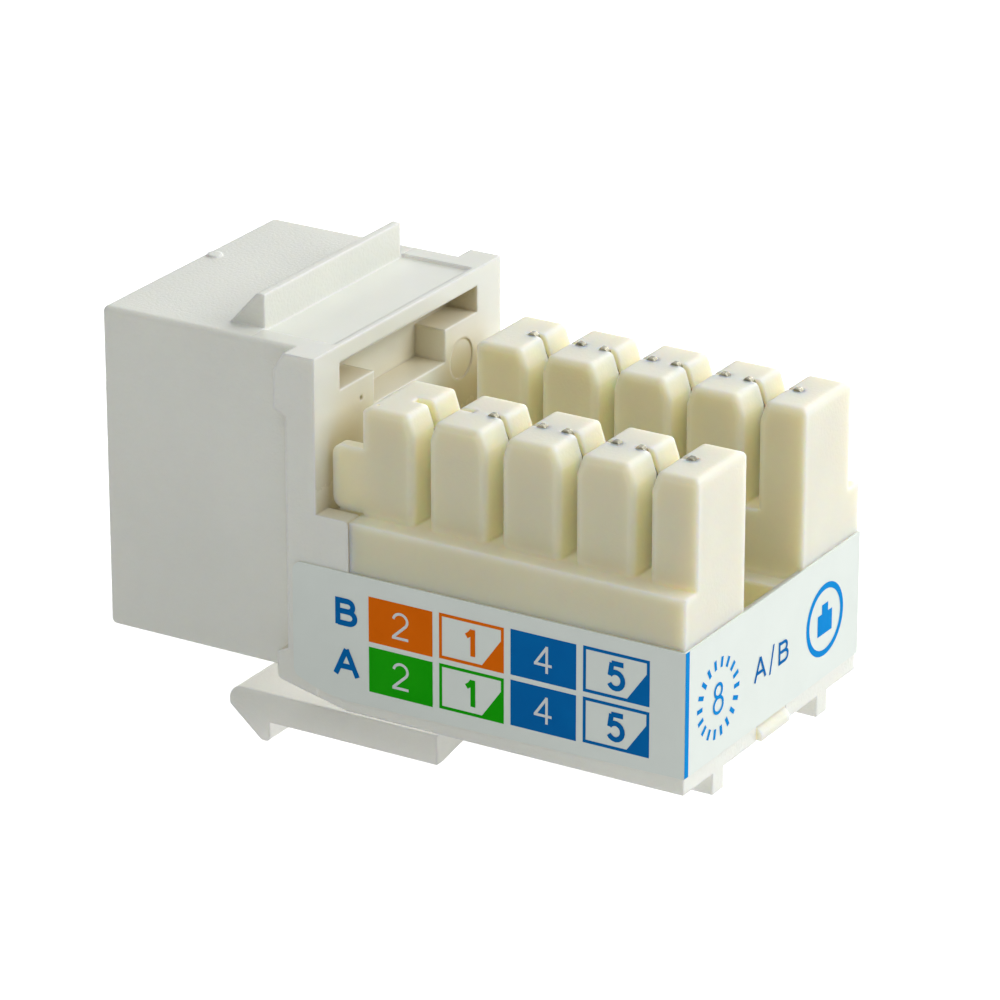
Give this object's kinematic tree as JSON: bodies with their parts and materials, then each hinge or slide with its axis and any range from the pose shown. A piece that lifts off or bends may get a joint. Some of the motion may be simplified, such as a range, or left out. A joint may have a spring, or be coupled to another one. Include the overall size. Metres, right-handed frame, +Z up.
{
  "type": "keystone jack",
  "caption": "Modular data jack that snaps into a keystone opening, with a plug port in front and two rows of punch-down wire slots behind.",
  "frame": {"origin": "centre of the front face of the plug port's box", "axes": "+X from the front face to the rear, +Z up towards the punch-down rows, +Y across to the far side"},
  "size_m": [0.0318, 0.0164, 0.0223],
  "materials": {
    "white_plastic": "satin moulded white",
    "cream_plastic": "satin natural cream",
    "carrier_plastic": "matt black",
    "board_laminate": "green solder mask",
    "label_film": "satin printed film",
    "gold_wire": "gold plated",
    "tinned_blade": "tin plated"
  },
  "bodies": {
    "jack": {"housing": "white_plastic", "bottom_cover": "white_plastic", "idc_block": "cream_plastic", "contact_carrier": "carrier_plastic", "circuit_board": "board_laminate", "wiring_label": "label_film", "spring_contact_1": "gold_wire", "spring_contact_2": "gold_wire", "spring_contact_3": "gold_wire", "spring_contact_4": "gold_wire", "spring_contact_5": "gold_wire", "spring_contact_6": "gold_wire", "spring_contact_7": "gold_wire", "spring_contact_8": "gold_wire", "idc_contact_1": "tinned_blade", "idc_contact_2": "tinned_blade", "idc_contact_3": "tinned_blade", "idc_contact_4": "tinned_blade", "idc_contact_5": "tinned_blade", "idc_contact_6": "tinned_blade", "idc_contact_7": "tinned_blade", "idc_contact_8": "tinned_blade"},
    "lever": {"latch_lever": "white_plastic"}
  },
  "joints": [
    {"name": "latch_press", "type": "hinge", "parent": "jack", "child": "lever", "pos_m": [0.0023, 0, -0.00785], "axis": [0, -1, 0], "range_deg": [0, 6], "stiffness_Nm_per_rad": 0.6}
  ]
}
